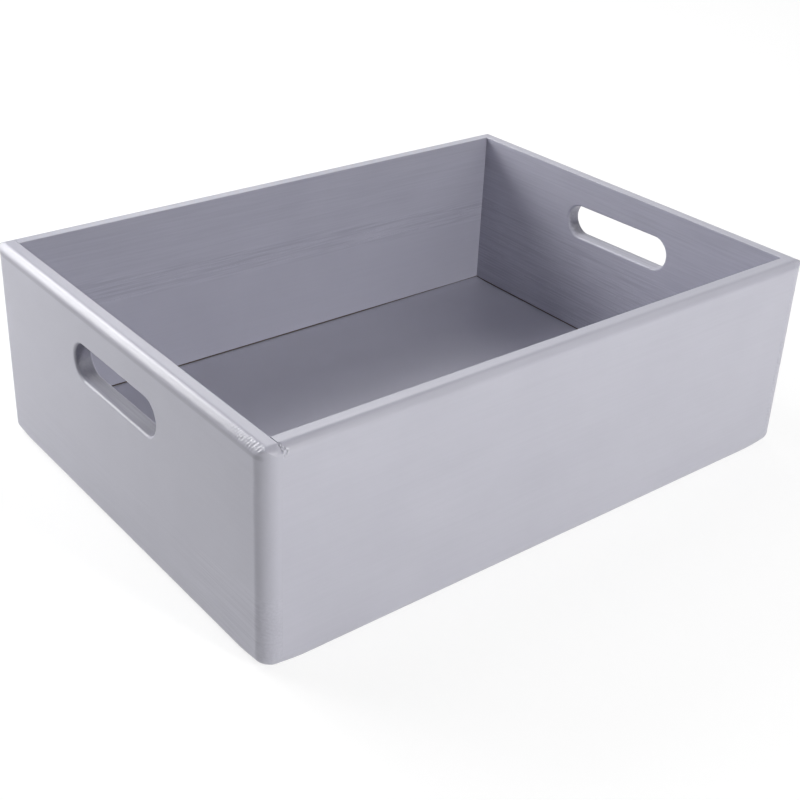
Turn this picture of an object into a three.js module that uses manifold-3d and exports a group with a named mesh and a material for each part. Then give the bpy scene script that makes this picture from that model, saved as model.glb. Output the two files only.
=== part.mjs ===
// Open wooden crate with a hand-hold slot in each end, in millimetres.
// +X runs along the crate's length, +Y to its back and +Z up.
// The origin is on the ground, below the middle of the crate.

import * as THREE from "three";
import { mergeVertices } from "three/addons/utils/BufferGeometryUtils.js";
import Module from "manifold-3d";

// Outside of the crate
const length = 400;
const width = 295;
const height = 130;

// Boards: the two ends run the full width and cover the ends of the long sides
const endBoard = 11;
const sideBoard = 11;
const glueLine = 0.3;

// Routed outer edges
const edgeRadius = 5.5;
const cornerRadius = 9;

// Hand-hold slots, measured at their narrow middle
const slotLength = 92;
const slotHeight = 23;
const slotDrop = 34; // from the rim down to the middle of the slot
const slotLip = 1.5; // rounding of the slot's two mouths

// Bottom sheet and the groove that holds it
const sheetThickness = 4;
const sheetLift = 10; // from the ground to the sheet's underside
const grooveDepth = 5;
const sheetClearance = 0.3; // under the sheet and beyond its edges
const shadowGap = 1; // above the sheet, where the groove stays open

// Blind dowels in the four corner joints
const dowelDiameter = 6;
const dowelLength = 24;
const dowelChamfer = 1;
const fluteDepth = 0.25;
const flutesPerDowel = 12;
const dowelsPerCorner = 3;
const dowelMargin = 28; // from the ground and from the rim to the nearest dowel
const boreSkin = 4; // wood left between a bore and the end board's outer face
const boreClearance = 0.2; // around a dowel
const boreEndGap = 0.5; // glue space past each end of a dowel

// Fineness of the round faces
const edgeSegments = 6;
const cornerSegments = 8;
const slotSegments = 20;
const lipSegments = 3;
const boreSides = 24;

// Sizes that follow from the ones above
const innerLength = length - 2 * endBoard;
const innerWidth = width - 2 * sideBoard;
const sideY = (width - sideBoard) / 2;
const endX = (length - endBoard) / 2;

const wasm = await Module();
wasm.setup();

// A closed three.js geometry as a solid that can be cut and joined.
function solidOf(geometry) {
  const bare = geometry.clone();
  bare.deleteAttribute("normal");
  bare.deleteAttribute("uv");
  const merged = mergeVertices(bare);
  const mesh = new wasm.Mesh({
    numProp: 3,
    vertProperties: new Float32Array(merged.attributes.position.array),
    triVerts: new Uint32Array(merged.index.array),
  });
  return new wasm.Manifold(mesh);
}

// A solid as a flat-shaded three.js geometry.
function geometryOf(solid) {
  const { vertProperties, triVerts } = solid.getMesh();
  const shared = new THREE.BufferGeometry();
  shared.setAttribute("position", new THREE.BufferAttribute(vertProperties, 3));
  shared.setIndex(new THREE.BufferAttribute(triVerts, 1));
  const faceted = shared.toNonIndexed();
  faceted.computeVertexNormals();
  return faceted;
}

function block(sizeX, sizeY, sizeZ, x, y, z) {
  return solidOf(new THREE.BoxGeometry(sizeX, sizeY, sizeZ).translate(x, y, z));
}

// A rectangle with rounded corners, centred on the origin.
function roundedRectangle(wide, high, radius) {
  const x = wide / 2 - radius;
  const y = high / 2 - radius;
  const shape = new THREE.Shape();
  shape.absarc(x, y, radius, 0, Math.PI / 2);
  shape.absarc(-x, y, radius, Math.PI / 2, Math.PI);
  shape.absarc(-x, -y, radius, Math.PI, 1.5 * Math.PI);
  shape.absarc(x, -y, radius, 1.5 * Math.PI, 2 * Math.PI);
  return shape;
}

// A board's height and a given width, with only the two upper corners rounded.
function rimProfile(wide) {
  const x = wide / 2 - edgeRadius;
  const y = height - edgeRadius;
  const shape = new THREE.Shape();
  shape.moveTo(-wide / 2, 0);
  shape.lineTo(wide / 2, 0);
  shape.absarc(x, y, edgeRadius, 0, Math.PI / 2);
  shape.absarc(-x, y, edgeRadius, Math.PI / 2, Math.PI);
  return shape;
}

// A profile pushed straight through along Y, upright and centred.
function pushedProfile(shape, depth) {
  const options = { depth, curveSegments: edgeSegments, bevelEnabled: false };
  return new THREE.ExtrudeGeometry(shape, options).translate(0, 0, -depth / 2).rotateX(Math.PI / 2);
}

// Outside form: the rim's edges are rounded in straight passes of the router, so their
// round-overs meet in mitred creases, and the round-over at the ground follows the corners.
function outsideForm() {
  const plan = new THREE.ExtrudeGeometry(roundedRectangle(length, width, cornerRadius), {
    depth: height, // the upper bevel stands above the rim, where it cuts nothing
    curveSegments: cornerSegments,
    bevelThickness: edgeRadius,
    bevelSize: edgeRadius,
    bevelOffset: -edgeRadius,
    bevelSegments: edgeSegments,
  });
  plan.translate(0, 0, edgeRadius);
  const side = pushedProfile(rimProfile(length), width);
  const end = pushedProfile(rimProfile(width), length).rotateZ(Math.PI / 2);
  const forms = [plan, side, end].map(solidOf);
  return forms[0].intersect(forms[1]).intersect(forms[2]);
}

// Space of the groove: it runs through the long sides and stops inside the ends.
function groovePocket() {
  const pocketHeight = sheetClearance + sheetThickness + shadowGap;
  const pocketMiddle = sheetLift - sheetClearance + pocketHeight / 2;
  const pocketLength = innerLength + 2 * grooveDepth;
  const pocketWidth = innerWidth + 2 * grooveDepth;
  return block(pocketLength, pocketWidth, pocketHeight, 0, 0, pocketMiddle);
}

// Cutter for a slot with round ends that flares at both mouths to leave rounded lips.
function slotCutter() {
  const endRadius = slotHeight / 2;
  const reach = slotLength / 2 - endRadius;
  const stadium = new THREE.Shape();
  stadium.absarc(reach, 0, endRadius, -Math.PI / 2, Math.PI / 2);
  stadium.absarc(-reach, 0, endRadius, Math.PI / 2, 1.5 * Math.PI);
  const straight = endBoard - 2 * slotLip;
  const cutter = new THREE.ExtrudeGeometry(stadium, {
    depth: straight,
    curveSegments: slotSegments,
    bevelThickness: slotLip,
    bevelSize: -slotLip,
    bevelOffset: slotLip,
    bevelSegments: lipSegments,
  });
  cutter.translate(0, 0, -straight / 2);
  cutter.rotateX(Math.PI / 2).rotateZ(Math.PI / 2);
  cutter.translate(endX, 0, height - slotDrop);
  return solidOf(cutter);
}

// Places of the dowels in the two joints at the +X end, each as [y, z].
function dowelPlaces() {
  const places = [];
  const step = (height - 2 * dowelMargin) / (dowelsPerCorner - 1);
  for (const y of [-sideY, sideY]) {
    for (let row = 0; row < dowelsPerCorner; row += 1) {
      places.push([y, dowelMargin + row * step]);
    }
  }
  return places;
}

// Far end of every bore at the +X end, and the middle of its dowel.
const boreEnd = length / 2 - boreSkin;
const dowelX = boreEnd - boreEndGap - dowelLength / 2;

function dowelBores() {
  const radius = dowelDiameter / 2 + boreClearance;
  const depth = dowelLength + 2 * boreEndGap;
  const bores = dowelPlaces().map(([y, z]) => {
    const bore = new THREE.CylinderGeometry(radius, radius, depth, boreSides);
    return solidOf(bore.rotateZ(Math.PI / 2).translate(dowelX, y, z));
  });
  return bores.reduce((all, bore) => all.add(bore));
}

const form = outsideForm();
const pocket = groovePocket();
const bores = dowelBores();

// End board at +X.
function endPanel() {
  const slab = block(endBoard, width, height, endX, 0, height / 2);
  return form.intersect(slab).subtract(pocket).subtract(bores).subtract(slotCutter());
}

// Long side board at +Y, with bores in both of its ends.
function sidePanel() {
  const boardLength = innerLength - 2 * glueLine;
  const slab = block(boardLength, sideBoard, height, 0, sideY, height / 2);
  const otherBores = bores.mirror([1, 0, 0]);
  return form.intersect(slab).subtract(pocket).subtract(bores).subtract(otherBores);
}

// Thin sheet whose edges stand in the groove.
function bottomSheet() {
  const hold = grooveDepth - sheetClearance;
  const sheet = new THREE.BoxGeometry(innerLength + 2 * hold, innerWidth + 2 * hold, sheetThickness);
  return sheet.translate(0, 0, sheetLift + sheetThickness / 2);
}

// Fluted dowel along its own Z axis, chamfered at both ends.
function dowelPin() {
  const points = [];
  for (let corner = 0; corner < 2 * flutesPerDowel; corner += 1) {
    const radius = dowelDiameter / 2 - (corner % 2) * fluteDepth;
    const angle = (corner * Math.PI) / flutesPerDowel;
    points.push(new THREE.Vector2(radius * Math.cos(angle), radius * Math.sin(angle)));
  }
  const straight = dowelLength - 2 * dowelChamfer;
  const pin = new THREE.ExtrudeGeometry(new THREE.Shape(points), {
    depth: straight,
    bevelThickness: dowelChamfer,
    bevelSize: dowelChamfer / 2,
    bevelOffset: -dowelChamfer / 2,
    bevelSegments: 1,
  });
  return pin.translate(0, 0, -straight / 2);
}

const greyPaint = new THREE.MeshStandardMaterial({ color: 0xbcbcc8, roughness: 0.5, metalness: 0 });
const sheetPaint = new THREE.MeshStandardMaterial({ color: 0xb4b3c0, roughness: 0.55, metalness: 0 });
const bareBeech = new THREE.MeshStandardMaterial({ color: 0xd8bd92, roughness: 0.7, metalness: 0 });

const crate = new THREE.Group();

function addPiece(parent, name, geometry, material) {
  const piece = new THREE.Mesh(geometry, material);
  piece.name = name;
  parent.add(piece);
  return piece;
}

// The crate is the same after half a turn, so each board and its dowels are made
// once and the opposite ones are turned copies.
const endBoardShape = geometryOf(endPanel());
const sideBoardShape = geometryOf(sidePanel());
const dowelShape = dowelPin();
const halves = [
  { turn: 0, end: "right", side: "back" },
  { turn: Math.PI, end: "left", side: "front" },
];
for (const { turn, end, side } of halves) {
  const half = new THREE.Group();
  half.rotation.z = turn;
  crate.add(half);
  addPiece(half, `${end}_end_panel`, endBoardShape, greyPaint);
  addPiece(half, `${side}_panel`, sideBoardShape, greyPaint);
  dowelPlaces().forEach(([y, z], index) => {
    const towardsBack = y > 0 === (turn === 0);
    const row = (index % dowelsPerCorner) + 1;
    const name = `dowel_${towardsBack ? "back" : "front"}_${end}_${row}`;
    const dowel = addPiece(half, name, dowelShape, bareBeech);
    dowel.rotation.y = Math.PI / 2;
    dowel.position.set(dowelX, y, z);
  });
}
addPiece(crate, "bottom_panel", bottomSheet(), sheetPaint);

export default crate;
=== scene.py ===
import math
import bpy
import bmesh
from mathutils import Matrix, Vector


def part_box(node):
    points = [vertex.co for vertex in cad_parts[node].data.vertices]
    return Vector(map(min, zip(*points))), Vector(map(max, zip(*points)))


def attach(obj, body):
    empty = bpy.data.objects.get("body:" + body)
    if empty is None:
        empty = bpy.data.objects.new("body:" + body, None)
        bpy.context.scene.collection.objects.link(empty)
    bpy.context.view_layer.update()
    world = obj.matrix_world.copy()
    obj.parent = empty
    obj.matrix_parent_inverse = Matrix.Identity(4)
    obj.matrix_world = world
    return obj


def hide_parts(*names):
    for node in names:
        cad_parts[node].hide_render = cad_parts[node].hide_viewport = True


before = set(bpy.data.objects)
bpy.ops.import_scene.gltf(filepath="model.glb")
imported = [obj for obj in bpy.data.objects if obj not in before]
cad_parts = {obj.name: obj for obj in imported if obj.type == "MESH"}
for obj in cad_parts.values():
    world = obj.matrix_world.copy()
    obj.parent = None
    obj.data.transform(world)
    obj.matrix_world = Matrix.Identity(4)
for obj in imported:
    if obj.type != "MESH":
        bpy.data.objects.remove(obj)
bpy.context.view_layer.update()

mm = 0.001
print("frame loaded:", len(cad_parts), "pieces")


# helpers for meshes, objects and materials

def meshFrom(work, name):
    bmesh.ops.recalc_face_normals(work, faces=work.faces)
    mesh = bpy.data.meshes.new(name)
    work.to_mesh(mesh)
    work.free()
    return mesh


def addObject(name, data):
    thing = bpy.data.objects.new(name, data)
    bpy.context.scene.collection.objects.link(thing)
    return thing


def newMaterial(name):
    material = bpy.data.materials.new(name)
    material.use_nodes = True
    tree = material.node_tree
    return material, tree, tree.nodes["Principled BSDF"]


# node helpers, used by the boards and by the paints

def plug(tree, socket, value):
    if isinstance(value, bpy.types.NodeSocket):
        tree.links.new(value, socket)
    elif value is not None:
        socket.default_value = value


def addNode(tree, kind, inputs=(), **settings):
    node = tree.nodes.new(kind)
    for key, value in settings.items():
        setattr(node, key, value)
    for key, value in dict(inputs).items():
        plug(tree, node.inputs[key], value)
    return node


def calc(tree, operation, first, second=None, third=None):
    node = addNode(tree, "ShaderNodeMath", operation=operation)
    for socket, value in zip(node.inputs, (first, second, third)):
        plug(tree, socket, value)
    return node.outputs[0]


def product(tree, first, *others):
    for other in others:
        first = calc(tree, "MULTIPLY", first, other)
    return first


def summed(tree, base, *terms):  # a base plus each value times its share
    for value, share in terms:
        base = calc(tree, "MULTIPLY_ADD", value, share, base)
    return base


def centred(tree, value):  # a share of 0 to 1 moved to lie about 0
    return calc(tree, "SUBTRACT", value, 0.5)


def unitWave(tree, operation, angle):  # a sine or cosine moved to lie between 0 and 1
    return calc(tree, "MULTIPLY_ADD", calc(tree, operation, angle), 0.5, 0.5)


def excess(tree, value, limit):  # how far a value is past a limit
    return calc(tree, "MAXIMUM", calc(tree, "SUBTRACT", value, limit), 0.0)


def hypotenuse(tree, first, second):
    square = calc(tree, "MULTIPLY_ADD", first, first, calc(tree, "MULTIPLY", second, second))
    return calc(tree, "SQRT", square)


def legOf(tree, long, short):  # third side of a right triangle
    square = calc(tree, "SUBTRACT", calc(tree, "MULTIPLY", long, long), calc(tree, "MULTIPLY", short, short))
    return calc(tree, "SQRT", calc(tree, "MAXIMUM", square, 0.0))


def vector(tree, x, y, z):
    return addNode(tree, "ShaderNodeCombineXYZ", {"X": x, "Y": y, "Z": z}).outputs[0]


def split(tree, place):
    return addNode(tree, "ShaderNodeSeparateXYZ", {"Vector": place}).outputs


def stretched(tree, parts, scales):  # a point scaled apart along each axis
    return vector(tree, *[calc(tree, "MULTIPLY", part, scale) for part, scale in zip(parts, scales)])


def noise(tree, point, seed, scale=1.0, detail=2.0, rough=0.5):
    inputs = {"Vector": point, "W": seed, "Scale": scale, "Detail": detail, "Roughness": rough}
    return addNode(tree, "ShaderNodeTexNoise", inputs, noise_dimensions="4D").outputs[0]


def ramp(tree, value, start, end, low=0.0, high=1.0):  # smooth step from start to end
    inputs = {"Value": value, "From Min": start, "From Max": end, "To Min": low, "To Max": high}
    return addNode(tree, "ShaderNodeMapRange", inputs, interpolation_type="SMOOTHSTEP").outputs[0]


def fall(tree, value, start, end):
    return ramp(tree, value, start, end, 1.0, 0.0)


def between(tree, value, rising, falling):  # 1 from the end of the rise to the start of the fall
    return product(tree, ramp(tree, value, *rising), fall(tree, value, *falling))


# paint on the boards and the sheet

def mixed(tree, factor, first, second):
    node = addNode(tree, "ShaderNodeMix", data_type="RGBA")
    for label, value in (("Factor", factor), ("A", first), ("B", second)):
        plug(tree, node.inputs[label], value)
    return node.outputs["Result"]


def attribute(tree, name):
    return addNode(tree, "ShaderNodeAttribute", attribute_name=name).outputs["Fac"]


def objectSpot(tree):
    return addNode(tree, "ShaderNodeTexCoord").outputs["Object"]


def addRelief(tree, shader, rise):  # rise in millimetres
    bump = addNode(tree, "ShaderNodeBump", {"Height": rise, "Distance": mm, "Strength": 1.0})
    plug(tree, shader.inputs["Normal"], bump.outputs["Normal"])


def paintMaterial(name, look):
    material, tree, shader = newMaterial(name)
    shader.inputs["IOR"].default_value = look["ior"]
    spot = objectSpot(tree)
    labels = ("grain", "streak", "bare", "sawn")
    grain, streak, bare, sawn = [attribute(tree, label) for label in labels]
    seed, detail = look["seed"], look["detail"]
    cloud = noise(tree, spot, seed, look["cloudScale"], detail)
    lengthwise = stretched(tree, split(tree, spot), look["fibreScales"])
    fibre = noise(tree, lengthwise, seed + look["fibreSeed"], 1.0, detail, look["fibreRough"])
    stipple = noise(tree, spot, seed + look["stippleSeed"], look["stippleScale"])
    sharp = centred(tree, ramp(tree, fibre, *look["fibreSharp"]))
    shown = product(tree, sharp, streak)  # fibres that print through the paint
    tone = summed(tree, 0.5 - look["cloudTone"] / 2, (cloud, look["cloudTone"]),
                  (grain, look["grainTone"]), (shown, look["streakTone"]))
    paint = mixed(tree, tone, look["light"], look["dark"])
    shadeAndRoughShare = product(tree, sawn, look["sawnTone"])
    paint = mixed(tree, shadeAndRoughShare, paint, look["sawn"])  # rough faces take the paint darker, and painted shade darkens the hand holds and a line under the rim
    wood = mixed(tree, fibre, look["pineLight"], look["pineDark"])
    plug(tree, shader.inputs["Base Color"], mixed(tree, bare, paint, wood))
    gloss = summed(tree, look["roughness"], (stipple, look["glossSpread"]), (shown, look["streakGloss"]),
                   (sawn, look["roughAndShadeGloss"]), (bare, look["bareGloss"]))
    plug(tree, shader.inputs["Roughness"], gloss)
    rise = summed(tree, 0.0, (stipple, look["stippleRise"]), (fibre, look["fibreRise"]),
                  (shown, look["streakRise"]))
    addRelief(tree, shader, rise)
    return material


boardPaint = {
    "light": (0.56, 0.558, 0.641, 1.0), "dark": (0.42, 0.418, 0.495, 1.0), "ior": 1.65, "detail": 3.0,
    "cloudTone": 0.4, "cloudScale": 22.0, "grainTone": 0.55, "streakTone": 0.9,
    "fibreSeed": 3.0, "fibreRough": 0.6, "fibreSharp": (0.32, 0.68), "stippleSeed": 7.0,
    "roughness": 0.28, "glossSpread": 0.08, "streakGloss": 0.12,
    # dark paint for rough slot faces, also used as painted shade in the hand holds and under the rim
    "sawn": (0.127, 0.125, 0.165, 1.0), "sawnTone": 0.95, "roughAndShadeGloss": 0.3,
    "stippleScale": 900.0, "stippleRise": 0.013, "fibreRise": 0.006, "streakRise": 0.045,
    "pineLight": (0.62, 0.37, 0.16, 1.0), "pineDark": (0.40, 0.21, 0.08, 1.0), "bareGloss": 0.35,
}
fibreAcross, fibreAlong = 720.0, 20.0  # fibres per metre
sideFibres = (fibreAlong, fibreAcross, fibreAcross)
endFibres = (fibreAcross, fibreAlong, fibreAcross)
sidePaint = paintMaterial("sidePaint", {**boardPaint, "seed": 1.0, "fibreScales": sideFibres})
endPaint = paintMaterial("endPaint", {**boardPaint, "seed": 5.0, "fibreScales": endFibres})
print("paints made")


# blank of a board: a box of grids whose long edges are already routed

routing = {
    "edge": 5.5 * mm, "corner": 9 * mm, "ease": 0.4 * mm, "row": 0.7 * mm, "edgeSteps": 14,
    "rimStep": 0.9 * mm, "sandedCore": 2 * mm, "weld": 0.004 * mm, "sharpAngle": math.radians(50),
}
seam = {"closesFrom": 5.5 * mm, "closedAt": 9 * mm, "hair": -0.01 * mm}
endLow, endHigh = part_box("right_end_panel")
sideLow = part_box("back_panel")[0]


def smoothStep(value, start, end):
    share = min(1.0, max(0.0, (value - start) / (end - start)))
    return share * share * (3 - 2 * share)


def spread(start, end, step):
    count = max(1, round((end - start) / step))
    return [start + (end - start) * i / count for i in range(count + 1)]


def stationPoints(runs):  # places along a board, each run with its own step
    places = [runs[0][0]]
    for start, end, step in runs:
        places += spread(start, end, step)[1:]
    return places


def boardLevels(thick, high):  # columns across the rim, rows up the faces and each row's reach
    edge, ease = routing["edge"], routing["ease"]
    turns = spread(0.0, math.pi / 2, math.pi / 2 / routing["edgeSteps"])
    near = [edge * (1 - math.cos(turn)) for turn in turns]
    middle = spread(edge, high - edge, routing["row"])[1:-1]
    ups = near + middle + [high - level for level in reversed(near)]
    arc = [thick - edge + edge * math.sin(turn) for turn in turns]
    reach = arc + [thick] * len(middle) + arc[::-1]
    outs = [0.0, ease / 2] + spread(ease, thick - edge, routing["rimStep"])
    return outs, ups, reach


def easedPoint(out, up, high):  # the arris inside the crate, just broken
    ease = routing["ease"]
    edgeGap = min(up, high - up)
    if max(out, edgeGap) >= ease:
        return out, up
    angle = math.radians(45 * (1 - edgeGap / ease) if out == 0 else 45 + 45 * out / ease)
    along = ease * (1 - math.sin(angle))
    return ease * (1 - math.cos(angle)), (high - along if up > high / 2 else along)


def seamEnd(out, gap):  # end of a long board: its seam shows on the rim, and paint closes it outside
    share = smoothStep(out, seam["closesFrom"], seam["closedAt"])
    return endLow.x - gap + (gap - seam["hair"]) * share


def blankBoard(name, stations, levels, endGaps):
    outs, ups, reach = levels
    lastX, lastY, lastZ = len(stations) - 1, len(outs) - 1, len(ups) - 1
    work = bmesh.new()
    points = {}

    def point(i, j, k):
        if (i, j, k) not in points:
            if j == lastY:
                out, up = reach[k], ups[k]
            elif j == 0 or k in (0, lastZ):
                out, up = easedPoint(outs[j], ups[k], ups[-1])
            else:
                out, up = outs[j] * reach[k] / outs[-1], ups[k]
            along = stations[i]
            if endGaps and i in (0, lastX):
                along = math.copysign(seamEnd(out, endGaps[0 if i == 0 else 1]), along)
            points[i, j, k] = work.verts.new((along, out, up))
        return points[i, j, k]

    def face(*corners):
        work.faces.new([point(*corner) for corner in corners])

    for i in range(lastX):
        for k in range(lastZ):
            for j in (0, lastY):
                face((i, j, k), (i + 1, j, k), (i + 1, j, k + 1), (i, j, k + 1))
        for j in range(lastY):
            for k in (0, lastZ):
                face((i, j, k), (i + 1, j, k), (i + 1, j + 1, k), (i, j + 1, k))
    for j in range(lastY):
        for k in range(lastZ):
            for i in (0, lastX):
                face((i, j, k), (i, j + 1, k), (i, j + 1, k + 1), (i, j, k + 1))
    return addObject(name, meshFrom(work, name))


# cutters shared by the four boards: sheet groove, dowel bores and hand holds

handHold = {
    "length": 92 * mm, "height": 23 * mm, "drop": 34 * mm, "lip": 1.5 * mm, "lipSteps": 8, "endSteps": 40,
    "ripple": 0.18, "rippleWaves": (0.37, 0.11),
    "roughDepths": (0.2 * mm, 2 * mm), "roughHeight": 0.7, "roughLength": 0.6,
    "left": {"along": 0.0, "up": -0.3 * mm, "tilt": 0.0},
    "right": {"along": -1.6 * mm, "up": 0.8 * mm, "tilt": -0.8},
}
groove = {"low": 9.7 * mm, "high": 15.0 * mm, "depth": 5 * mm}
bore = {"clearance": 0.2 * mm, "endGap": 0.5 * mm, "sides": 24}


def arcPoints(centre, radius, start, end, steps):
    angles = [math.radians(start + (end - start) * step / steps) for step in range(steps + 1)]
    return [(centre[0] + radius * math.cos(a), centre[1] + radius * math.sin(a)) for a in angles]


def slotRings(thick):  # (depth from the outer face, widening) of each ring through an end board
    lip, steps = handHold["lip"], handHold["lipSteps"]
    rings = [(-lip, lip)]
    for step in range(steps + 1):
        angle = math.radians(90 * step / steps)
        rings.append((lip * (1 - math.cos(angle)), lip * (1 - math.sin(angle))))
    return rings + [(thick - depth, widening) for depth, widening in reversed(rings)]


def stadium(reach, radius):  # outline of a slot with round ends
    right = arcPoints((reach, 0.0), radius, -90, 90, handHold["endSteps"])
    left = arcPoints((-reach, 0.0), radius, 90, 270, handHold["endSteps"])
    return [Vector(place) for place in right + left]


def addSlot(work, side, offset):  # each slot is routed by hand, so it is a little off centre
    thick = endHigh.x - endLow.x
    reach = (handHold["length"] - handHold["height"]) / 2
    middle = Vector((offset["along"], endHigh.z - handHold["drop"] + offset["up"]))
    tilt = Matrix.Rotation(math.radians(offset["tilt"]), 2)
    quick, slow = handHold["rippleWaves"]
    rings = []
    core, lipped = [stadium(reach, handHold["height"] / 2 + grow) for grow in (0.0, handHold["lip"])]
    for depth, widening in slotRings(thick):
        places = []
        for i, (near, far) in enumerate(zip(core, lipped)):
            ripple = 1 + handHold["ripple"] * math.sin(quick * i + side) * math.sin(slow * i)
            share = min(1.0, widening / handHold["lip"]) * (ripple if depth > 0 else 1.0)
            places.append(middle + tilt @ near.lerp(far, share))
        x = side * (endHigh.x - depth)
        rings.append([work.verts.new((x, place.x, place.y)) for place in places])
    for first, second in zip(rings, rings[1:]):
        for i in range(len(first)):
            j = (i + 1) % len(first)
            work.faces.new((first[i], first[j], second[j], second[i]))
    work.faces.new(rings[0])
    work.faces.new(rings[-1])


def makeCutters():
    work = bmesh.new()
    reachX = endLow.x + groove["depth"]
    reachY = sideLow.y + groove["depth"]
    size = Matrix.Diagonal((2 * reachX, 2 * reachY, groove["high"] - groove["low"], 1))
    place = Matrix.Translation((0, 0, (groove["high"] + groove["low"]) / 2))
    bmesh.ops.create_cube(work, size=1, matrix=place @ size)
    addSlot(work, -1, handHold["left"])
    addSlot(work, 1, handHold["right"])
    return bpy.data.objects.new("cutters", meshFrom(work, "cutters"))


def makeDots(name, places):  # a holder of loose points
    mesh = bpy.data.meshes.new(name)
    mesh.from_pydata(places, [], [])
    return bpy.data.objects.new(name, mesh)


cutters = makeCutters()
dowelNodes = sorted(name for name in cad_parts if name.startswith("dowel_"))
dowelBoxes = [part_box(name) for name in dowelNodes]
boreDots = makeDots("boreDots", [(low + high) / 2 for low, high in dowelBoxes])
dowelSize = dowelBoxes[0][1] - dowelBoxes[0][0]
print("cutters made for", len(dowelNodes), "dowel bores")


# node tree that turns a blank into a finished board

boardInputs = (
    "Geometry", "Inset", "Turn", "Thickness", "Height",
    "Corner start", "Corner radius", "Edge start", "Edge radius",
    "Sanded at", "Sanded run", "Sanded lift",
    "Cutters", "Bore dots", "Bore radius", "Bore length",
    "Groove low", "Groove high", "Groove depth", "Groove reach",
    "Slot level", "Slot reach", "Slot half", "Slot rough", "Router line",
    "Ring spacing", "Pith out", "Pith up", "Pith slope", "Wobble", "Grain depth", "Wave depth",
    "Grain low", "Grain high", "Grain below", "Grain above",
    "Grain from", "Grain to", "Grain beside", "Grain shown",
    "Chatter pitch", "Chatter depth", "Chatter from", "Chatter to",
    "Nick dots", "Nick radius", "Nick depth", "Seed", "Paint",
)
inputKinds = {  # all others are numbers
    "Geometry": "Geometry", "Paint": "Material",
    "Cutters": "Object", "Bore dots": "Object", "Nick dots": "Object",
}


def passOn(tree, kind, geometry, **inputs):  # geometry through one more node
    return addNode(tree, kind, {"Geometry": geometry, **inputs}).outputs[0]


def objectGeometry(tree, thing):
    return addNode(tree, "GeometryNodeObjectInfo", {"Object": thing}).outputs["Geometry"]


def ownNormal(tree):
    return addNode(tree, "GeometryNodeInputNormal").outputs[0]


def splitPosition(tree):
    return split(tree, addNode(tree, "GeometryNodeInputPosition").outputs[0])


def boardNoise(tree, given, look):
    seed = calc(tree, "ADD", given["Seed"], look["seedStep"])
    return noise(tree, stretched(tree, splitPosition(tree), look["scales"]), seed)


def cutBoard(tree, given):  # groove, bores and slot, brought into the board's own frame
    drill = addNode(tree, "GeometryNodeMeshCylinder", {
        "Vertices": bore["sides"], "Radius": given["Bore radius"], "Depth": given["Bore length"]})
    bores = addNode(tree, "GeometryNodeInstanceOnPoints", {
        "Points": objectGeometry(tree, given["Bore dots"]), "Instance": drill.outputs["Mesh"],
        "Rotation": (0, math.pi / 2, 0)})
    tools = addNode(tree, "GeometryNodeJoinGeometry")
    tree.links.new(objectGeometry(tree, given["Cutters"]), tools.inputs[0])
    loose = passOn(tree, "GeometryNodeRealizeInstances", bores.outputs["Instances"])
    tree.links.new(loose, tools.inputs[0])
    spin = vector(tree, 0.0, 0.0, calc(tree, "MULTIPLY", given["Turn"], -1.0))
    shift = vector(tree, 0.0, calc(tree, "MULTIPLY", given["Inset"], -1.0), 0.0)
    local = passOn(tree, "GeometryNodeTransform", tools.outputs[0], Translation=shift, Rotation=spin)
    cut = addNode(tree, "GeometryNodeMeshBoolean", operation="DIFFERENCE", solver="MANIFOLD")
    tree.links.new(given["Geometry"], cut.inputs["Mesh 1"])
    tree.links.new(local, cut.inputs["Mesh 2"])
    return cut.outputs["Mesh"]


def wrapCorners(tree, given, geometry):
    x, y, z = splitPosition(tree)
    edge, corner, start = given["Edge radius"], given["Corner radius"], given["Corner start"]
    along = calc(tree, "ABSOLUTE", x)
    angle = calc(tree, "DIVIDE", excess(tree, along, start), corner)
    foot = legOf(tree, edge, excess(tree, edge, z))  # the round-over at the ground follows the corner
    radius = calc(tree, "SUBTRACT", corner, calc(tree, "SUBTRACT", edge, foot))
    straight = calc(tree, "MINIMUM", along, start)
    bent = calc(tree, "MULTIPLY_ADD", calc(tree, "SINE", angle), radius, straight)
    flat = calc(tree, "SUBTRACT", given["Thickness"], corner)
    limit = calc(tree, "MULTIPLY_ADD", calc(tree, "COSINE", angle), radius, flat)
    out = calc(tree, "MINIMUM", y, limit)
    crest = legOf(tree, edge, excess(tree, bent, given["Edge start"]))
    top = calc(tree, "ADD", calc(tree, "SUBTRACT", given["Height"], edge), crest)
    up = calc(tree, "MINIMUM", z, top)  # the round-overs at the rim run straight through and meet in a crease
    up = calc(tree, "ADD", up, sandedLift(tree, given, bent, out, z))
    place = vector(tree, calc(tree, "MULTIPLY", calc(tree, "SIGN", x), bent), out, up)
    moved = passOn(tree, "GeometryNodeSetPosition", geometry, Position=place)
    return passOn(tree, "GeometryNodeMergeByDistance", moved, Distance=routing["weld"])


def sandedLift(tree, given, along, out, up):  # at the ground, corners are sanded rounder than edges
    sideGap = calc(tree, "SUBTRACT", given["Sanded at"], along)
    outGap = calc(tree, "SUBTRACT", given["Thickness"], out)
    run = given["Sanded run"]
    near = fall(tree, hypotenuse(tree, sideGap, outGap), routing["sandedCore"], run)
    return product(tree, near, fall(tree, up, 0.0, run), given["Sanded lift"])


ringLook = {
    "ripple": {"scales": (7.0, 50.0, 50.0), "seedStep": 0.0}, "sharpness": 3.0,
    "seasonScales": (130.0, 5.0), "seasonSeed": 11.0, "seasonDetail": 1.0, "season": (0.35, 0.7),
}
grainFade = {"up": 6 * mm, "along": 20 * mm}


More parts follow.
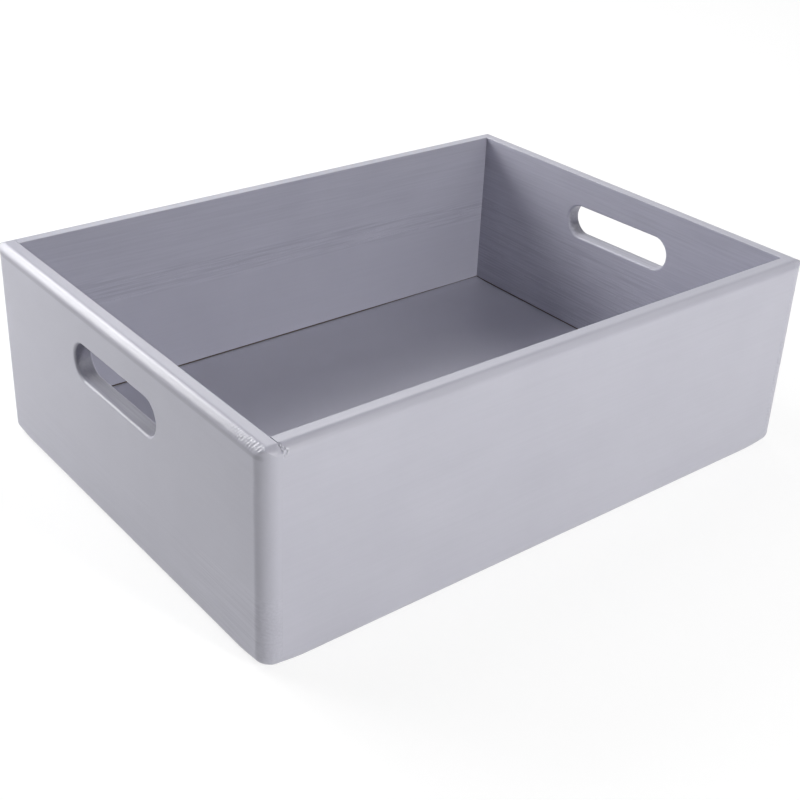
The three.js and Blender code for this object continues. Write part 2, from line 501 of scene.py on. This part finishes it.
def growthRings(tree, given):  # 1 on a late-wood line, 0 between
    x, y, z = splitPosition(tree)
    ripple = centred(tree, boardNoise(tree, given, ringLook["ripple"]))
    out = calc(tree, "SUBTRACT", y, given["Pith out"])
    up = calc(tree, "MULTIPLY_ADD", x, given["Pith slope"], calc(tree, "SUBTRACT", z, given["Pith up"]))
    radius = calc(tree, "MULTIPLY_ADD", ripple, given["Wobble"], hypotenuse(tree, out, up))
    turns = product(tree, calc(tree, "DIVIDE", radius, given["Ring spacing"]), 2 * math.pi)
    line = calc(tree, "POWER", unitWave(tree, "COSINE", turns), ringLook["sharpness"])
    acrossScale, alongScale = ringLook["seasonScales"]
    years = vector(tree, product(tree, radius, acrossScale), product(tree, x, alongScale), 0.0)
    seed = calc(tree, "ADD", given["Seed"], ringLook["seasonSeed"])
    season = noise(tree, years, seed, 1.0, ringLook["seasonDetail"])
    return product(tree, line, ramp(tree, season, *ringLook["season"]))


def grainWindow(tree, given):  # how clearly the grain shows: a band in height and a stretch along the board
    x, _, z = splitPosition(tree)
    level = calc(tree, "MULTIPLY_ADD", x, given["Pith slope"], z)
    low, high, below = given["Grain low"], given["Grain high"], given["Grain below"]
    lower = ramp(tree, level, calc(tree, "SUBTRACT", low, grainFade["up"]), low)
    upper = ramp(tree, level, high, calc(tree, "ADD", high, grainFade["up"]))
    band = summed(tree, below, (lower, calc(tree, "SUBTRACT", 1.0, below)),
                  (upper, calc(tree, "SUBTRACT", given["Grain above"], 1.0)))
    start, stop, beside = given["Grain from"], given["Grain to"], given["Grain beside"]
    started = calc(tree, "ADD", start, grainFade["along"])
    stopping = calc(tree, "SUBTRACT", stop, grainFade["along"])
    inside = between(tree, x, (start, started), (stopping, stop))
    share = calc(tree, "MULTIPLY_ADD", inside, calc(tree, "SUBTRACT", 1.0, beside), beside)
    return product(tree, band, share, given["Grain shown"])


def slotFaces(tree, given):  # the faces that the slot's cutter left rough
    x, y, z = splitPosition(tree)
    fromOutside = calc(tree, "SUBTRACT", given["Thickness"], y)
    level = calc(tree, "ABSOLUTE", calc(tree, "SUBTRACT", z, given["Slot level"]))
    return product(
        tree, ramp(tree, y, *handHold["roughDepths"]), ramp(tree, fromOutside, *handHold["roughDepths"]),
        calc(tree, "LESS_THAN", level, given["Slot reach"]),
        calc(tree, "LESS_THAN", calc(tree, "ABSOLUTE", x), given["Slot half"]))


# darker paint at end grain, partly painted shade, and a painted shade line under the rim
shadeAndThinPaint = {
    "endFacing": (0.15, 0.7), "alongGrain": 0.72,
    "lineRise": (-1.6 * mm, -0.4 * mm), "lineFall": (0.9 * mm, 2 * mm), "lineDepths": (1 * mm, 3 * mm),
}


def endGrainAndShade(tree):  # end grain soaks the paint up, so it stays darker than the grain along the board; in the hand holds this also paints in the deeper shade at the slot's far end
    facing = calc(tree, "ABSOLUTE", split(tree, ownNormal(tree))[0])
    return ramp(tree, facing, *shadeAndThinPaint["endFacing"], shadeAndThinPaint["alongGrain"], 1.0)


def routerLine(tree, given):  # painted shade: a dark line along the line where the rim's round-over starts, standing in for the dark surroundings that the round-over reflects there
    _, y, z = splitPosition(tree)
    line = calc(tree, "SUBTRACT", z, calc(tree, "SUBTRACT", given["Height"], given["Edge radius"]))
    shown = between(tree, line, shadeAndThinPaint["lineRise"], shadeAndThinPaint["lineFall"])
    outer = fall(tree, calc(tree, "SUBTRACT", given["Thickness"], y), *shadeAndThinPaint["lineDepths"])
    return product(tree, shown, outer, given["Router line"])


def bareFaces(tree, given):  # 1 inside the sheet groove, where no paint reaches
    x, y, z = splitPosition(tree)
    slack = 0.05 * mm
    return product(
        tree, calc(tree, "GREATER_THAN", y, slack),
        calc(tree, "LESS_THAN", y, calc(tree, "ADD", given["Groove depth"], slack)),
        calc(tree, "GREATER_THAN", z, calc(tree, "SUBTRACT", given["Groove low"], slack)),
        calc(tree, "LESS_THAN", z, calc(tree, "ADD", given["Groove high"], slack)),
        calc(tree, "LESS_THAN", calc(tree, "ABSOLUTE", x), calc(tree, "ADD", given["Groove reach"], slack)))


relief = {
    "wave": {"scales": (18.0, 18.0, 18.0), "seedStep": 23.0},
    "shake": {"scales": (160.0, 40.0, 40.0), "seedStep": 31.0},
    "uneven": {"scales": (330.0, 240.0, 240.0), "seedStep": 41.0},
    "worn": (0.36, 0.62), "leastWorn": 0.05, "routed": (0.08, 0.34),
    "slant": 0.5, "jitter": 12.0, "scallop": 0.6,
}


def sunkDepth(tree, given, line, normal):  # how far each point lies below the planed face
    x, _, z = splitPosition(tree)
    _, faceOut, faceUp = split(tree, normal)
    wave, shake, uneven = [boardNoise(tree, given, relief[label]) for label in ("wave", "shake", "uneven")]
    slant = calc(tree, "MULTIPLY_ADD", z, relief["slant"], x)
    strokes = calc(tree, "DIVIDE", product(tree, slant, 2 * math.pi), given["Chatter pitch"])
    beat = calc(tree, "MULTIPLY_ADD", shake, relief["jitter"], strokes)
    scallop = calc(tree, "POWER", unitWave(tree, "SINE", beat), relief["scallop"])
    routed = ramp(tree, product(tree, faceOut, faceUp), *relief["routed"])
    there = product(tree, routed, fall(tree, x, given["Chatter from"], given["Chatter to"]))
    worn = ramp(tree, uneven, *relief["worn"], relief["leastWorn"], 1.0)
    chatter = product(tree, scallop, there, worn)
    dots = {"Target": objectGeometry(tree, given["Nick dots"])}
    near = addNode(tree, "GeometryNodeProximity", dots, target_element="POINTS").outputs["Distance"]
    ragged = calc(tree, "MULTIPLY_ADD", centred(tree, shake), given["Nick radius"], near)
    nick = fall(tree, ragged, 0.0, given["Nick radius"])
    return summed(tree, 0.0, (wave, given["Wave depth"]), (line, given["Grain depth"]),
                  (chatter, given["Chatter depth"]), (nick, given["Nick depth"]))


def makeBoardTree():
    tree = bpy.data.node_groups.new("routedBoard", "GeometryNodeTree")
    for label in boardInputs:
        kind = "NodeSocket" + inputKinds.get(label, "Float")
        tree.interface.new_socket(name=label, in_out="INPUT", socket_type=kind)
    tree.interface.new_socket(name="Geometry", in_out="OUTPUT", socket_type="NodeSocketGeometry")
    given = addNode(tree, "NodeGroupInput").outputs
    board = wrapCorners(tree, given, cutBoard(tree, given))
    rough = slotFaces(tree, given)
    window = calc(tree, "MAXIMUM", grainWindow(tree, given), rough)
    # painted shade: the hand-hold faces get darker paint, most at the slot's far end, partly for rough sawn
    # wood and partly for the shade in the hold; the mark also carries the painted shade line under the rim
    dark = product(tree, rough, given["Slot rough"], endGrainAndShade(tree))
    marks = (
        ("grain", product(tree, growthRings(tree, given), window), "POINT"),
        ("streak", window, "POINT"),
        ("sawn", calc(tree, "MAXIMUM", dark, routerLine(tree, given)), "POINT"),
        ("bare", bareFaces(tree, given), "FACE"),
    )
    for label, value, domain in marks:
        inputs = {"Geometry": board, "Name": label, "Value": value}
        board = addNode(tree, "GeometryNodeStoreNamedAttribute", inputs, domain=domain).outputs[0]
    line = addNode(tree, "GeometryNodeInputNamedAttribute", {"Name": "grain"}, data_type="FLOAT").outputs[0]
    normal = ownNormal(tree)
    lift = calc(tree, "MULTIPLY", sunkDepth(tree, given, line, normal), -1.0)
    inward = addNode(tree, "ShaderNodeVectorMath", {"Vector": normal, "Scale": lift}, operation="SCALE")
    board = passOn(tree, "GeometryNodeSetPosition", board, Offset=inward.outputs[0])
    shift, spin = vector(tree, 0.0, given["Inset"], 0.0), vector(tree, 0.0, 0.0, given["Turn"])
    board = passOn(tree, "GeometryNodeTransform", board, Translation=shift)
    board = passOn(tree, "GeometryNodeTransform", board, Rotation=spin)
    board = passOn(tree, "GeometryNodeSetShadeSmooth", board)
    board = passOn(tree, "GeometryNodeRealizeInstances", board)
    board = passOn(tree, "GeometryNodeSetMaterial", board, Material=given["Paint"])
    addNode(tree, "NodeGroupOutput", {"Geometry": board})
    return tree


boardTree = makeBoardTree()


def finishBoard(holder, values):
    modifier = holder.modifiers.new("routedBoard", "NODES")
    modifier.node_group = boardTree
    for item in boardTree.interface.items_tree:
        if item.in_out == "INPUT" and item.name in values:
            modifier[item.identifier] = values[item.name]
    bpy.context.view_layer.update()
    graph = bpy.context.evaluated_depsgraph_get()
    mesh = bpy.data.meshes.new_from_object(holder.evaluated_get(graph), depsgraph=graph)
    name = holder.name
    blank = holder.data
    bpy.data.objects.remove(holder)
    bpy.data.meshes.remove(blank)
    mesh.name = name
    mesh.set_sharp_from_angle(angle=routing["sharpAngle"])
    return addObject(name, mesh)


def boardFrame(board):  # (half length, inset, thickness, height) of a board's node, seen along its own length
    low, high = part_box(board["node"])
    back = Matrix.Rotation(-math.radians(board["turn"]), 3, "Z")
    first, second = back @ low, back @ high
    outs = sorted((first.y, second.y))
    return max(abs(first.x), abs(second.x)), outs[0], outs[1] - outs[0], high.z


def inputLabel(key):  # ringSpacing names the input Ring spacing
    words = "".join(" " + letter.lower() if letter.isupper() else letter for letter in key)
    return words[0].upper() + words[1:]


def makeBoard(name, board, isEnd):
    half, inset, thick, high = boardFrame(board)
    edge, corner = routing["edge"], routing["corner"]
    far = 10.0  # a place that a board never reaches
    reach = half - corner + corner * math.pi / 2 if isEnd else half
    runs = [(max(-reach, start * mm), min(reach, end * mm), step * mm) for start, end, step in board["runs"]]
    holder = blankBoard(name, stationPoints(runs), boardLevels(thick, high), board.get("seamGaps"))
    nickDots = makeDots(name + "Nicks", [[size * mm for size in place] for place in board["nicks"]])
    values = {inputLabel(key): value for key, value in board.items()}
    values.update({
        "Inset": inset, "Turn": math.radians(board["turn"]), "Thickness": thick, "Height": high,
        "Corner start": half - corner if isEnd else far, "Corner radius": corner,
        "Edge start": half - edge if isEnd else far, "Edge radius": edge,
        "Sanded at": half if isEnd else endHigh.x,
        "Cutters": cutters, "Bore dots": boreDots, "Nick dots": nickDots,
        "Bore radius": dowelSize.y / 2 + bore["clearance"], "Bore length": dowelSize.x + 2 * bore["endGap"],
        "Groove low": groove["low"], "Groove high": groove["high"], "Groove depth": groove["depth"],
        "Groove reach": sideLow.y + groove["depth"] if isEnd else far,
        "Slot level": high - handHold["drop"],
        "Slot reach": handHold["roughHeight"] * handHold["height"] if isEnd else 0.0,
        "Slot half": handHold["roughLength"] * handHold["length"],
    })
    piece = finishBoard(holder, values)
    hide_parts(board["node"])
    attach(piece, "root")
    bpy.data.objects.remove(nickDots)
    print("board made:", name, len(piece.data.polygons), "faces")


plainBoard = {
    "nicks": [(0, 0, -1000)], "nickRadius": 0.6 * mm, "nickDepth": 0.0, "waveDepth": 0.03 * mm,
    "sandedRun": 26 * mm, "sandedLift": 1.9 * mm,
    "chatterPitch": 2.1 * mm, "chatterDepth": 0.0, "chatterFrom": -1.0, "chatterTo": -0.9,
    "grainLow": -1.0, "grainHigh": 1.0, "grainBelow": 1.0, "grainAbove": 1.0,
    "grainFrom": -1.0, "grainTo": 1.0, "grainBeside": 1.0, "grainShown": 1.0,
    # the last two set painted shade: darker paint in the hand holds, partly for rough sawn faces, and a dark
    # line under the rim
    "slotRough": 1.0, "routerLine": 0.0,
}
frontBoard = {  # runs and nicks are in millimetres
    **plainBoard, "node": "front_panel", "turn": 180, "paint": sidePaint, "seed": 2.0,
    "seamGaps": (0.0, 0.2 * mm),
    "runs": [(-189, -182, 0.8), (-182, 182, 6), (182, 186, 0.8), (186, 189, 0.3)],
    "ringSpacing": 4.2 * mm, "pithOut": -60 * mm, "pithUp": 60 * mm, "pithSlope": 0.01, "wobble": 8 * mm,
    "grainDepth": 0.03 * mm, "grainLow": 200 * mm, "grainBelow": 0.1,
    "nicks": [(188.5, 7.4, 129.7), (188.7, 9.0, 128.7), (187.4, 9.7, 128.0), (186.6, 10.5, 126.7),
              (187.2, 10.9, 125.3), (188.4, 11.0, 124.6), (188.9, 10.3, 127.1)],
    "nickRadius": 0.75 * mm, "nickDepth": 0.75 * mm,
}
backBoard = {
    **plainBoard, "node": "back_panel", "turn": 0, "paint": sidePaint, "seed": 4.0,
    "seamGaps": (0.0, 0.0),
    "runs": [(-189, -182, 0.8), (-182, 182, 5), (182, 189, 0.8)],
    "ringSpacing": 2.4 * mm, "pithOut": -22 * mm, "pithUp": 38 * mm, "pithSlope": 0.035, "wobble": 5 * mm,
    "grainDepth": 0.06 * mm, "grainLow": 74 * mm, "grainHigh": 84 * mm,
    "grainBelow": 0.08, "grainAbove": 0.28,
}
leftEnd = {
    **plainBoard, "node": "left_end_panel", "turn": 90, "paint": endPaint, "seed": 6.0,
    "runs": [(-160, -147, 0.6), (-147, -106, 0.36), (-106, -52, 5), (-52, 52, 2.2),
             (52, 136, 5), (136, 160, 0.8)],
    "ringSpacing": 2.1 * mm, "pithOut": -30 * mm, "pithUp": 95 * mm, "pithSlope": 0.03, "wobble": 6 * mm,
    "grainDepth": 0.05 * mm, "grainLow": -20 * mm, "grainHigh": 38 * mm, "grainAbove": 0.15,
    "grainFrom": -160 * mm, "grainTo": -75 * mm, "grainBeside": 0.3, "grainShown": 0.5,
    # the left end alone carries the painted shade line under its rim
    "chatterDepth": 0.17 * mm, "chatterFrom": -128 * mm, "chatterTo": -104 * mm, "routerLine": 0.27,
    "nicks": [(-144.6, 0.5, 129.3), (-145.6, 0.3, 128.6), (-146.4, 0.6, 127.8), (-146.9, 0.3, 127.0)],
    "nickRadius": 0.75 * mm, "nickDepth": 0.5 * mm,
}
rightEnd = {
    **plainBoard, "node": "right_end_panel", "turn": -90, "paint": endPaint, "seed": 8.0,
    "runs": [(-160, -136, 0.6), (-136, -52, 4), (-52, 52, 1.6), (52, 136, 4), (136, 160, 0.6)],
    "ringSpacing": 2.2 * mm, "pithOut": 40 * mm, "pithUp": 150 * mm, "pithSlope": 0.02, "wobble": 4 * mm,
    "grainDepth": 0.05 * mm, "grainLow": 20 * mm, "grainHigh": 76 * mm,
    # the right hand hold gets almost none of the painted slot shade
    "grainBelow": 0.5, "grainAbove": 0.4, "slotRough": 0.08,
}
makeBoard("frontBoard", frontBoard, False)
makeBoard("backBoard", backBoard, False)
makeBoard("leftEnd", leftEnd, True)
makeBoard("rightEnd", rightEnd, True)
for helper in (cutters, boreDots):
    bpy.data.objects.remove(helper)


# bottom sheet: it lies 1 mm below the top of its groove, and lifts towards the back right corner

sheet = {
    "cell": 6 * mm, "edgeCell": 1.5 * mm, "edgeRun": 36 * mm, "arris": 0.25 * mm,
    "lift": 0.6 * mm, "liftRun": 16 * mm, "liftFrom": 50 * mm, "liftTo": 190 * mm,
    "covered": 4.5 * mm, "sharpAngle": math.radians(30),
}
sheetPaint = paintMaterial("sheetPaint", {
    **boardPaint, "seed": 9.0, "fibreScales": sideFibres, "fibreRise": 0.002,
    "light": (0.55, 0.548, 0.635, 1.0), "dark": (0.42, 0.418, 0.50, 1.0),
    "pineLight": (0.2, 0.14, 0.09, 1.0), "pineDark": (0.13, 0.09, 0.06, 1.0),  # brown edges of the sheet
})


def sheetRun(low, high):
    run = sheet["edgeRun"]
    inner = spread(low + run, high - run, sheet["cell"])
    near = spread(low, low + run, sheet["edgeCell"])[1:-1]
    far = spread(high - run, high, sheet["edgeCell"])[1:-1]
    return [low, low + sheet["arris"]] + near + inner + far + [high - sheet["arris"], high]


def sheetLift(x, y, high):
    along = smoothStep(x, sheet["liftFrom"], sheet["liftTo"])
    return sheet["lift"] * along * smoothStep(y, high.y - sheet["liftRun"], high.y - groove["depth"])


def makeSheet():
    low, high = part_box("bottom_panel")
    xs, ys = sheetRun(low.x, high.x), sheetRun(low.y, high.y)
    lastX, lastY = len(xs) - 1, len(ys) - 1
    work = bmesh.new()
    layers = []
    for level in (low.z, high.z):
        rows = []
        for i, x in enumerate(xs):
            row = []
            for j, y in enumerate(ys):
                ease = sheet["arris"] if i in (0, lastX) or j in (0, lastY) else 0.0
                z = level + sheetLift(x, y, high) + (ease if level == low.z else -ease)
                row.append(work.verts.new((x, y, z)))
            rows.append(row)
        layers.append(rows)
    for rows in layers:
        for first, second in zip(rows, rows[1:]):
            for j in range(lastY):
                work.faces.new((first[j], second[j], second[j + 1], first[j + 1]))
    lower, upper = layers
    rims = [[(i, j) for i in range(len(xs))] for j in (0, lastY)]
    rims += [[(i, j) for j in range(len(ys))] for i in (0, lastX)]
    for rim in rims:
        for (i, j), (k, m) in zip(rim, rim[1:]):
            work.faces.new((lower[i][j], lower[k][m], upper[k][m], upper[i][j]))
    mesh = meshFrom(work, "bottomSheet")
    mesh.shade_smooth()
    mesh.set_sharp_from_angle(angle=sheet["sharpAngle"])
    gaps = [min(high.x - abs(face.center.x), high.y - abs(face.center.y)) for face in mesh.polygons]
    bare = [1.0 if gap < sheet["covered"] else 0.0 for gap in gaps]  # no paint in the groove
    mesh.attributes.new("bare", "FLOAT", "FACE").data.foreach_set("value", bare)
    mesh.materials.append(sheetPaint)
    piece = addObject("bottomSheet", mesh)
    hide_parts("bottom_panel")
    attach(piece, "root")
    print("sheet made:", len(mesh.polygons), "faces")


makeSheet()


# dowels keep their nodes, in bare beech

beech = {
    "light": (0.62, 0.42, 0.24, 1.0), "dark": (0.47, 0.28, 0.14, 1.0), "fleck": (0.34, 0.18, 0.08, 1.0),
    "bands": {"scales": (40.0, 700.0, 700.0), "seed": 3.0, "detail": 3.0, "shown": (0.3, 0.7)},
    "flecks": {"scales": (350.0, 2600.0, 2600.0), "seed": 8.0, "detail": 1.0, "shown": (0.62, 0.74)},
    "roughness": 0.62, "rise": 0.05,
}


def beechNoise(tree, parts, look):
    return noise(tree, stretched(tree, parts, look["scales"]), look["seed"], 1.0, look["detail"])


def beechMaterial():
    material, tree, shader = newMaterial("bareBeech")
    parts = split(tree, objectSpot(tree))
    bands, flecks = [beechNoise(tree, parts, beech[label]) for label in ("bands", "flecks")]
    wood = mixed(tree, ramp(tree, bands, *beech["bands"]["shown"]), beech["light"], beech["dark"])
    wood = mixed(tree, ramp(tree, flecks, *beech["flecks"]["shown"]), wood, beech["fleck"])
    plug(tree, shader.inputs["Base Color"], wood)
    shader.inputs["Roughness"].default_value = beech["roughness"]
    addRelief(tree, shader, summed(tree, 0.0, (bands, beech["rise"]), (flecks, -beech["rise"])))
    return material


bareBeech = beechMaterial()
for name in dowelNodes:
    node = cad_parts[name]
    node.data.materials.clear()
    node.data.materials.append(bareBeech)


# camera, floor and light

cameraView = {
    "place": (-0.48028, -0.5787, 0.44958), "turn": (62.323, -1.970, -37.652), "lens": 60.0,
    "shift": (0.0262, -0.0529), "sensor": 36.0,
}


def makeCamera():
    data = bpy.data.cameras.new("camera")
    data.sensor_width = cameraView["sensor"]
    data.lens = cameraView["lens"]
    data.shift_x, data.shift_y = cameraView["shift"]
    camera = addObject("camera", data)
    camera.location = cameraView["place"]
    camera.rotation_euler = [math.radians(angle) for angle in cameraView["turn"]]
    bpy.context.scene.camera = camera


studio = {
    "floorSize": 80.0, "skirt": 4.0, "floorGlow": 0.81, "glowColour": (1, 1, 1, 1),
    "floorBounce": (0.8, 0.8, 0.8, 1.0), "floorSeen": (0.25, 0.25, 0.25, 1.0),
    "worldColour": (0.05, 0.05, 0.05, 1.0), "aim": (0.0, 0.0, 0.06), "lowest": 0.03,
    "lamps": {  # azimuth and elevation in degrees, distance and size in metres, power in watts
        "frontBox": {"from": (275, 26), "away": 1.5, "size": 0.16, "power": 8.9, "tint": (1.0, 1.0, 0.99)},
        "frontLow": {"from": (272, 1), "away": 1.2, "size": 0.11, "power": 2.4, "tint": (1.0, 0.99, 0.9)},
        "rightBox": {"from": (330, 44), "away": 2.0, "size": 1.3, "power": 5.3, "tint": (1.0, 1.0, 1.0)},
        "keyBack": {"from": (103, 39), "away": 1.4, "size": 0.55, "power": 5.3, "tint": (1.0, 1.0, 1.0)},
        "keyLeft": {"from": (118, 31), "away": 1.4, "size": 0.65, "power": 5.2, "tint": (1.0, 1.0, 0.99)},
        "keyLow": {"from": (130, 17), "away": 1.4, "size": 0.65, "power": 6.2, "tint": (1.0, 1.0, 1.0)},
        "backLow": {"from": (67, 30), "away": 2.0, "size": 0.6, "power": 2.3, "tint": (1.0, 1.0, 1.0)},
        "backBox": {"from": (36, 32), "away": 2.0, "size": 1.7, "power": 6.3, "tint": (1.0, 1.0, 1.0)},
        "backSide": {"from": (50, 44), "away": 2.0, "size": 0.6, "power": 2.6, "tint": (1.0, 1.0, 1.0)},
        "topBox": {"from": (122, 64), "away": 2.0, "size": 0.8, "power": 4.8, "tint": (1.0, 1.0, 1.03)},
    },
}


def seenRay(tree):  # 1 for what the eye sees, straight, in gloss or through glass
    path = addNode(tree, "ShaderNodeLightPath").outputs
    seen = calc(tree, "MAXIMUM", path["Is Camera Ray"], path["Is Glossy Ray"])
    return calc(tree, "MAXIMUM", seen, path["Is Transmission Ray"])


def makeFloor():  # white to the eye, with a faint shadow, and a plain white table to the light
    half = studio["floorSize"] / 2
    corners = [(-half, -half), (half, -half), (half, half), (-half, half)]
    points = [(x, y, z) for z in (0.0, studio["skirt"]) for x, y in corners]
    skirt = [(i, i + 4, (i + 1) % 4 + 4, (i + 1) % 4) for i in range(4)]  # it hides the horizon
    mesh = bpy.data.meshes.new("floor")
    mesh.from_pydata(points, [], [(0, 1, 2, 3)] + skirt)
    floor = addObject("floor", mesh)
    material, tree, shader = newMaterial("floorWhite")
    seen = seenRay(tree)
    colour = mixed(tree, seen, studio["floorBounce"], studio["floorSeen"])
    plug(tree, shader.inputs["Base Color"], colour)
    shader.inputs["Roughness"].default_value = 1.0
    shader.inputs["Specular IOR Level"].default_value = 0.0
    shader.inputs["Emission Color"].default_value = studio["glowColour"]
    plug(tree, shader.inputs["Emission Strength"], product(tree, seen, studio["floorGlow"]))
    mesh.materials.append(material)


def makeWorld():
    world = bpy.data.worlds.new("studioWorld")
    world.use_nodes = True
    world.node_tree.nodes["Background"].inputs["Color"].default_value = studio["worldColour"]
    bpy.context.scene.world = world


def makeLamps():
    aim = Vector(studio["aim"])
    for name, lamp in studio["lamps"].items():
        data = bpy.data.lights.new(name, "AREA")
        data.shape = "DISK"
        data.size = lamp["size"]
        data.energy = lamp["power"]
        data.color = lamp["tint"]
        azimuth, elevation = [math.radians(angle) for angle in lamp["from"]]
        level = math.cos(elevation)
        towards = Vector((math.cos(azimuth) * level, math.sin(azimuth) * level, math.sin(elevation)))
        holder = addObject(name, data)
        holder.location = aim + towards * lamp["away"]
        holder.location.z = max(holder.location.z, lamp["size"] / 2 + studio["lowest"])
        holder.rotation_euler = (aim - holder.location).to_track_quat("-Z", "Y").to_euler()
        holder.visible_camera = False


makeCamera()
makeFloor()
makeWorld()
makeLamps()
bpy.context.scene.view_settings.view_transform = "Standard"
print("camera, floor and light set")
